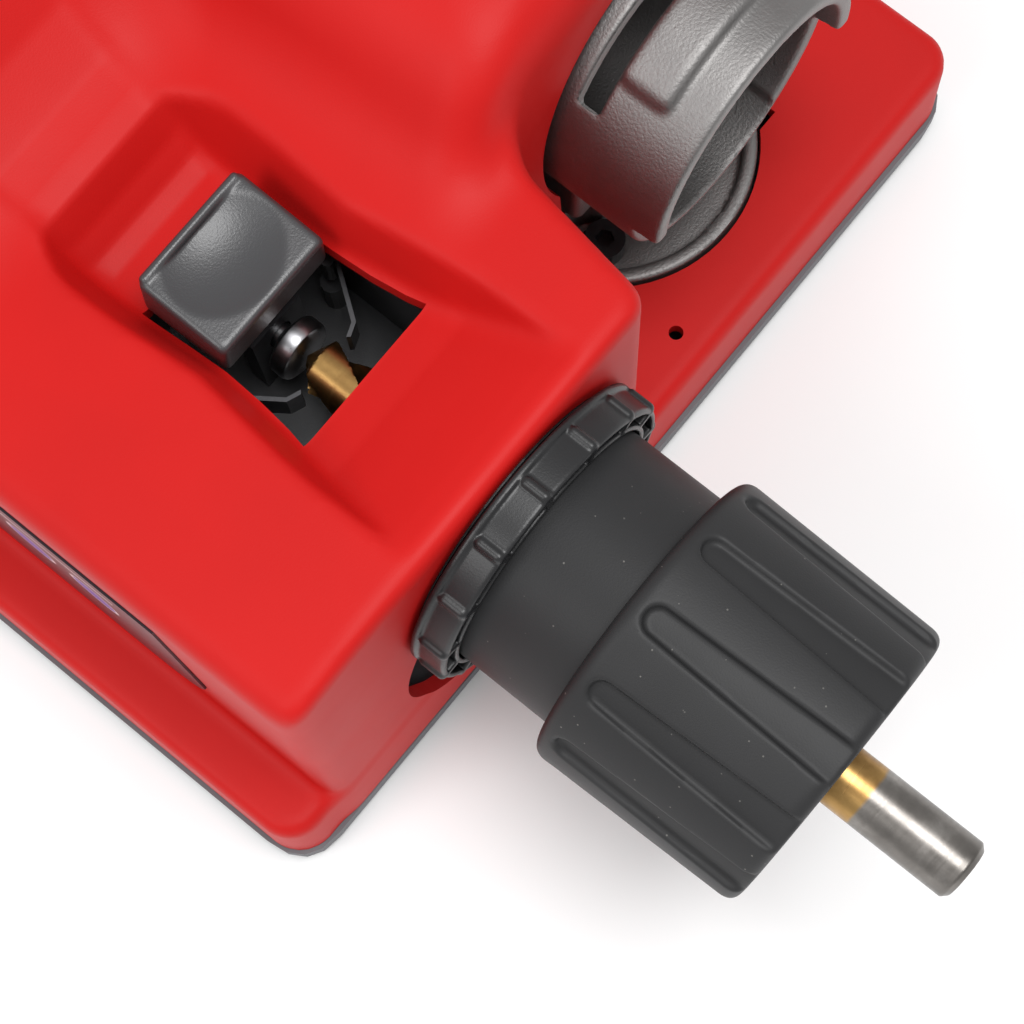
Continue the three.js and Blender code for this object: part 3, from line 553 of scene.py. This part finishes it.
def housing_field(x, y, z):
    """The housing's outer skin: a low deck, the alignment port's box, the sharpening port's
    hump and the tall rear body, joined softly, with the finger trough cut through the box."""
    up = z - SHELL_BOTTOM
    deck_side = rounded_rectangle(x + BASE_LENGTH / 2, y - BASE_WIDTH / 2, BASE_LENGTH / 2 - DECK_INSET,
                                  BASE_WIDTH / 2 - DECK_INSET, DECK_CORNER) + DECK_DRAFT * up
    deck = rounded_max(deck_side, z - DECK_TOP, 3)

    left = LEDGE + SIDE_DRAFT * up - y
    front = x + DECK_INSET + 0.008 * up
    right = y - np.minimum(93 + 0.19 * (-DECK_INSET - x), 98.6) + 0.02 * (z - DECK_TOP)
    crown = z - (BOX_TOP + BOX_FALL * (x + 3))
    crown = rounded_max(crown, crown + 0.2 * (28 - y), 1.6)
    box = overlap_of(3.2, rounded_max(front, right, 4), crown, BOX_REAR - x)

    right_wall = y - (BASE_WIDTH - LEDGE) + SIDE_DRAFT * up
    rear_wall = -(BASE_LENGTH - LEDGE) + SIDE_DRAFT * up - x
    slope = ((x + 88) + 0.9 * (z - 78)) / 1.345
    rear = rounded_max(slope, z - REAR_TOP + 0.2, 13)

    hump_left = (84 + 0.67 * (z - 80) - y) / 1.2
    hump_front = x + 30 + 0.06 * (z - DECK_TOP)
    hump = overlap_of(11, rounded_max(hump_front, hump_left, 7), z - HUMP_TOP, HUMP_REAR - x)

    body = rounded_min(rounded_min(box, hump, 9), rear, 12)
    top_edge = np.interp(x, (-112, -84), (13, 4.5))
    body = rounded_max(rounded_max(body, left, top_edge), right_wall, 13)
    body = rounded_max(body, rear_wall, 18)
    floor = np.interp(x, *VALLEY.T)
    half = np.interp(x, *VALLEY_HALF.T)
    valley = rounded_max(np.abs(y - CHUCK_Y) - half - 0.45 * (z - floor), floor - z, 2.4)
    body = rounded_max(body, -valley, 1.5)
    return rounded_min(deck, body, 2.5)


def housing_openings():
    """The cutters for every opening in the housing. The two sets are cut one after the other,
    because some of their pieces cross."""
    window_half = [(-62, 12.3), (-52, 12), (-45, 11.9), (-38, 12.3), (-32, 13), (-28.5, 13.7)]
    near = [(x, CHUCK_Y - half) for x, half in window_half]
    far = [(x, CHUCK_Y + half) for x, half in reversed(window_half)]
    stem_slot = [(-62, CHUCK_Y + 6.6), (-65, CHUCK_Y + 6.6), (-65, CHUCK_Y - 6.6), (-62, CHUCK_Y - 6.6)]
    window = prism(near + far + stem_slot, 58, 120, 2)
    ring_hole = prism(circle(CHUCK_Y, CHUCK_Z, 22.9), -6.5, 6, 0)
    disc_hole = prism(circle(DISC_X, PORT_Y, 27), 0, 32, 2)
    deck_hole = prism(circle(-8.2, 112.1, 1.3, 24), 10, 40, 2)
    switch_x, switch_z = middle("switch_body", 0), middle("switch_body", 2)
    switch_hole = prism(rectangle(switch_x - 11.5, switch_x + 11.5, switch_z - 7, switch_z + 7), 0, 20, 1)
    gland_hole = prism(circle(middle("cable_gland", 1), middle("cable_gland", 2), 6), -245, -225, 0)
    vents = [prism(rectangle(82 + i * 8, 85 + i * 8, 38, 82), -245, -222, 0) for i in range(9)]

    swarf_hole = prism(circle(CHUCK_Y, 36, 28), -12, 6, 0)
    angles = np.linspace(-0.5, math.pi + 0.5, 60)
    arch = [(PORT_Y + 26 * math.cos(a), CHUCK_Z + 26 * math.sin(a)) for a in angles]
    arch += [(PORT_Y - 23, 15), (PORT_Y + 23, 15)]
    port_hole = prism(arch, -46, -20, 0)
    first = [window, ring_hole, disc_hole, deck_hole, switch_hole, gland_hole, *vents]
    return first, [swarf_hole, port_hole]


def make_housing():
    low = (-BASE_LENGTH - 2, -2, SHELL_BOTTOM)
    high = (2, BASE_WIDTH + 2, REAR_TOP + 3)
    points, quads, cells = surface(housing_field, low, high, HOUSING_CELL)
    points[cells[:, 2] == 0, 2] = SHELL_BOTTOM
    shell = mesh_object("moulded_shell", points, quads)
    thicken = shell.modifiers.new("wall", "SOLIDIFY")
    thicken.thickness = WALL * MM
    thicken.offset = -1
    thicken.use_even_offset = True
    apply_modifiers(shell)
    for cutters in housing_openings():
        cut(shell, *cutters)
    finish_piece(shell, "machine", LOOKS["red_shell"], ["housing"], sharp=38)


# ---- chuck ------------------------------------------------------------------------------
def make_barrel():
    barrel = turned("chuck_sleeve_barrel", [
        (-25, 8.2), (-25, 9.3), (-24.5, 9.8), (-4.4, 20.55), (-3.6, 20.85), (49.5, 20.85), (50, 20.4),
        (50, 18), (1.9, 18), (-24.6, 8.35),
    ])
    finish_piece(barrel, "chuck", LOOKS["chuck_grey"], ["chuck_barrel"])


def repeated(y, z, count, phase=0.0):
    """The sideways and outward distances to the nearest of several equal spokes about the
    chuck's axis, the first of them straight up."""
    pitch = 2 * math.pi / count
    turn = np.arctan2(-(y - CHUCK_Y), z - CHUCK_Z) - phase
    local = np.mod(turn + pitch / 2, pitch) - pitch / 2
    radius = np.hypot(y - CHUCK_Y, z - CHUCK_Z)
    return radius * np.sin(local), radius * np.cos(local)


KNOB_BACK = 22.4
KNOB_FRONT = 59.4
KNOB_RADIUS = 25.35
KNOB_GROOVES = 12
KNOB_PHASE = math.radians(9)
GROOVE_DEPTH = 1.15
GROOVE_START = KNOB_BACK + 5.2


def knob_field(x, y, z):
    """A hollow cap with a hub, tapering a little, with grooves that open at its front."""
    radius = np.hypot(y - CHUCK_Y, z - CHUCK_Z)
    rim = KNOB_RADIUS - 0.02 * (x - KNOB_BACK)
    solid = overlap_of(2.6, radius - rim, KNOB_BACK - x, x - KNOB_FRONT)
    across, _ = repeated(y, z, KNOB_GROOVES, KNOB_PHASE)
    half_width = 2.35 + 0.032 * np.clip(x - GROOVE_START, 0, None)
    channel = np.hypot(across, np.maximum(GROOVE_START - x, 0)) - half_width
    groove = rounded_max(channel - 0.35 * (radius - rim), rim - GROOVE_DEPTH - radius, 0.6)
    solid = rounded_max(solid, -groove, 0.5)
    hollow = np.maximum(radius - (PORT_BORE + 0.05), x - (KNOB_FRONT - 7))
    hub = np.maximum(radius - 14, KNOB_BACK + 7.6 - x)
    solid = np.maximum(solid, -np.maximum(hollow, -hub))
    bore = rounded_min(radius - 7.5, np.maximum(radius - 10.2, x - 46), 0.3)
    dish = overlap_of(1, radius - 20.5, 10 - radius, KNOB_FRONT - 1 - x)
    return rounded_max(rounded_max(solid, -bore, 0.8), -dish, 0.8)


def make_knob():
    knob = field_piece("grooved_chuck_knob", knob_field, (21.4, CHUCK_Y - 26.4, CHUCK_Z - 26.4),
                       (60.2, CHUCK_Y + 26.4, CHUCK_Z + 26.4), 0.42)
    finish_piece(knob, "knob", LOOKS["chuck_grey"], ["chuck_knob"], sharp=55)


COLLAR_BACK = -0.4
COLLAR_FRONT = 5.7
COLLAR_RADIUS = 25
COLLAR_RIBS = 15
RIB_RADIUS = 0.95


def collar_field(x, y, z):
    """A ring with a thin flange at its back, rounded ribs outside and pockets in its front."""
    radius = np.hypot(y - CHUCK_Y, z - CHUCK_Z)
    across, height = repeated(y, z, COLLAR_RIBS)
    band = overlap_of(0.7, radius - COLLAR_RADIUS, COLLAR_BACK - x, x - COLLAR_FRONT)
    flange = overlap_of(0.4, radius - 25.5, COLLAR_BACK - x, x - 0.7)
    past_end = np.maximum(between(x, 1.6, COLLAR_FRONT - 0.9), 0)
    rib = np.sqrt(across ** 2 + (height - 24.75) ** 2 + past_end ** 2) - RIB_RADIUS
    solid = rounded_min(rounded_min(band, flange, 0.4), rib, 0.35)
    solid = rounded_max(solid, PORT_BORE - radius, 0.4)
    web = 0.7 - np.abs(across)
    pocket = overlap_of(0.3, between(radius, 22.1, 24.1), COLLAR_FRONT - 3.6 - x, web)
    return rounded_max(solid, -pocket, 0.3)


def make_collar():
    collar = field_piece("ribbed_cam_collar", collar_field, (-1, CHUCK_Y - 26.3, CHUCK_Z - 26.3),
                         (6.4, CHUCK_Y + 26.3, CHUCK_Z + 26.3), 0.3)
    finish_piece(collar, "collar", LOOKS["black_plastic"], ["collar_ring"], sharp=55)


DRILL_RADIUS = 5.0
FLUTE_LEAD = 54
FLUTE_END = 30
FLUTE_RADIUS = 3.6
HALF_POINT_ANGLE = math.radians(59)


def make_drill():
    """A twist drill: two flutes cut along a helix, a cone at the tip, a chamfer at the end."""
    tip, end = ends("drill_bit", 0)

    def drill_field(x, y, z):
        dy, dz = y - CHUCK_Y, z - CHUCK_Z
        r = np.hypot(dy, dz)
        turn = np.arctan2(dz, dy) - 2 * math.pi * (x + 37.9) / FLUTE_LEAD
        u, v = np.abs(r * np.cos(turn)), r * np.sin(turn)
        run_out = 2.4 * np.clip((x - FLUTE_END + 8) / 8, 0, 1) ** 2
        flute = np.hypot(u - 4.9 - run_out, v) - FLUTE_RADIUS
        body = overlap_of(0.3, r - DRILL_RADIUS, x - end + 0.01)
        chamfer = (r - DRILL_RADIUS + 0.9 + (x - end)) / 1.414
        point = (r - (x - tip) * math.tan(HALF_POINT_ANGLE)) * math.cos(HALF_POINT_ANGLE)
        solid = np.maximum(np.maximum(body, chamfer), point)
        return np.maximum(solid, -np.maximum(flute, x - FLUTE_END))

    drill = field_piece("twist_drill", drill_field, (tip - 0.6, CHUCK_Y - 5.6, CHUCK_Z - 5.6),
                        (end + 0.6, CHUCK_Y + 5.6, CHUCK_Z + 5.6), 0.25)
    finish_piece(drill, "drill", LOOKS["drill_steel"], ["drill_bit"], sharp=40)


# ---- thumb button and stop ------------------------------------------------------------------
BUTTON_BOTTOM = 72.4
BUTTON_FRONT = -45.7
BUTTON_BACK = -62.2
BUTTON_HALF = 11.5


def button_field(x, y, z):
    """A dished cap with a lip at its back, on a stem bored for the button spring."""
    across = np.abs(y - CHUCK_Y)
    up = z - BUTTON_BOTTOM
    top = z - (80.9 - 0.09 * (x + 47))
    front = x - BUTTON_FRONT - 0.1 * up
    back = BUTTON_BACK + 0.1 * up - x
    side = across - BUTTON_HALF + 0.04 * up
    block = overlap_of(1.3, front, back, side, top, -up)
    dimple = np.sqrt((x + 52.9) ** 2 + ((y - CHUCK_Y) * 0.86) ** 2 + (z - 101.4) ** 2) - 21.6
    solid = rounded_max(block, -dimple, 0.25)
    lip = rounded_max(np.hypot(x + 60.7, z - 81.7) - 0.8, across - 10.4, 0.6)
    solid = rounded_min(solid, lip, 0.5)
    stem = overlap_of(0.4, between(x, -56, -51.2), across - 5.8, between(z, 58, 73))
    bore = np.hypot(y - CHUCK_Y, z - CHUCK_Z) - 4.6
    return rounded_min(solid, np.maximum(stem, -bore), 0.4)


def make_button():
    button = field_piece("thumb_button_cap", button_field, (-63.2, CHUCK_Y - 11.8, 57.2),
                         (-44.6, CHUCK_Y + 11.8, 85.2), 0.3)
    finish_piece(button, "button", LOOKS["button_grey"], ["thumb_button"], sharp=60)


def make_stop_pin():
    profile = [
        (-51.5, 0.02), (-51.5, 2.05), (-46.6, 2.05), (-45.6, 3.4), (-45.3, 4.8), (-44.9, 5.1), (-42.9, 5.1),
        (-42.4, 4.85), (-42.2, 4.4), (-42.2, 0.02),
    ]
    pin = turned("drill_stop_pin", profile, 96)
    finish_piece(pin, "machine", LOOKS["steel"], ["depth_stop_pin"])


# ---- sharpening port --------------------------------------------------------------------
def port_field(x, y, z):
    """The casting: a bored tube with a pad and a slot, on a pedestal and a rimmed disc that
    turns about the pivot bolt, with a curved slot for the lock screw."""
    dy, dz = y - PORT_Y, z - CHUCK_Z
    radius = np.hypot(dy, dz)
    mouth = -11.6 - 4.6 / (1 + np.exp(np.clip((dz + 1) * 6, -50, 50)))
    tube = overlap_of(1.0, radius - 24, x - mouth, -54 - x)
    pad = overlap_of(1.6, radius - 25.3, between(x, -27.5, -18.3), np.abs(dy) - 15, 4 - dz)
    pedestal = overlap_of(2, between(x, -50, -31), np.abs(dy) - 19, between(z, 19, 47))
    from_pivot = np.hypot(x - DISC_X, dy)
    plate = overlap_of(0.8, from_pivot - 26.4, between(z, 18, 20.5))
    rim = overlap_of(0.7, between(from_pivot, 23.8, 26.4), between(z, 18, 23))
    casting = rounded_min(rounded_min(tube, pad, 0.6), rounded_min(pedestal, plate, 2.2), 2.2)
    casting = rounded_min(casting, rim, 0.6)
    casting = rounded_max(casting, PORT_BORE - radius, 0.8)
    keyway = overlap_of(0.5, radius - 22.4, dz + 4, between(dy, -14, 13.5), -30 - x)
    slot = overlap_of(0.8, between(x, -31.5, -27.5), np.abs(dy) - 19, 12 - dz)
    casting = rounded_max(rounded_max(casting, -slot, 0.6), -keyway, 0.3)
    pivot = np.maximum(from_pivot - 4, z - 31)
    reach = math.hypot(11.5, 15)
    angle = np.clip(np.arctan2(dy, x - DISC_X), math.radians(-61), math.radians(-52.5))
    to_slot = np.hypot(x - DISC_X - reach * np.cos(angle), dy - reach * np.sin(angle))
    through = np.maximum(to_slot - 2.9, z - 30)
    lock = rounded_min(through, np.maximum(to_slot - 4.1, between(z, 20.5, 34)), 0.2)
    return np.maximum(casting, -np.minimum(pivot, lock))


def make_port():
    casting = field_piece("cast_sharpening_port", port_field, (-67.5, PORT_Y - 27.6, 17),
                          (-10.4, PORT_Y + 27.6, 88.4), 0.55)
    finish_piece(casting, "port", LOOKS["cast_aluminium"], ["sharpening_port"], sharp=50)


# ---- stage ------------------------------------------------------------------------------
def make_stage():
    bpy.ops.mesh.primitive_plane_add(size=6, location=(0, 0, 0))
    floor = bpy.context.object
    floor.name = "studio_floor"
    paper, nodes, links, shader = new_material("white_paper", (0.92, 0.92, 0.92), 0.9)
    vector = place(nodes, links)
    clouds = noise(nodes, links, vector, 6, 2)
    whites = [(0.3, (0.91, 0.91, 0.91)), (0.7, (0.93, 0.93, 0.93))]
    links.new(ramp(nodes, links, clouds, whites), shader.inputs["Base Color"])
    floor.data.materials.append(paper)


def area_light(name, location, target, size, power):
    data = bpy.data.lights.new(name, "AREA")
    data.shape = "DISK"
    data.size = size
    data.energy = power
    light = bpy.data.objects.new(name, data)
    light.location = location
    light.rotation_euler = (Vector(target) - Vector(location)).to_track_quat("-Z", "Y").to_euler()
    bpy.context.scene.collection.objects.link(light)


def make_lights():
    """A white room, a soft box overhead and a weaker one on the left."""
    world = bpy.data.worlds.new("soft_white_room")
    world.use_nodes = True
    world.node_tree.nodes["Background"].inputs["Color"].default_value = (1, 1, 1, 1)
    world.node_tree.nodes["Background"].inputs["Strength"].default_value = 0.62
    bpy.context.scene.world = world
    area_light("overhead_softbox", (0.22, 0.02, 1.0), (0.05, 0, 0.05), 0.5, 6)
    area_light("side_softbox", (-0.15, -0.7, 0.8), (0, 0, 0.05), 0.5, 2.5)


def make_camera():
    """Looks almost straight down, with the picture shifted up from the lens axis."""
    data = bpy.data.cameras.new("photograph_view")
    data.lens = 68.03
    data.sensor_width = 36
    data.shift_y = 0.2
    data.clip_start = 0.01
    camera = bpy.data.objects.new("photograph_view", data)
    right = Vector((0.77378, 0.633, -0.0241)).normalized()
    back = Vector((0.12302, -0.11284, 0.98597)).normalized()
    up = back.cross(right).normalized()
    turn = Matrix((right, up, back)).transposed().to_4x4()
    camera.matrix_world = Matrix.Translation((0.136, -0.0875, 0.3417)) @ turn
    bpy.context.scene.collection.objects.link(camera)
    bpy.context.scene.camera = camera
    bpy.context.scene.view_settings.view_transform = "Standard"


dress_cad_nodes()
make_housing()
make_barrel()
make_knob()
make_collar()
make_drill()
make_button()
make_stop_pin()
make_port()
make_stage()
make_lights()
make_camera()
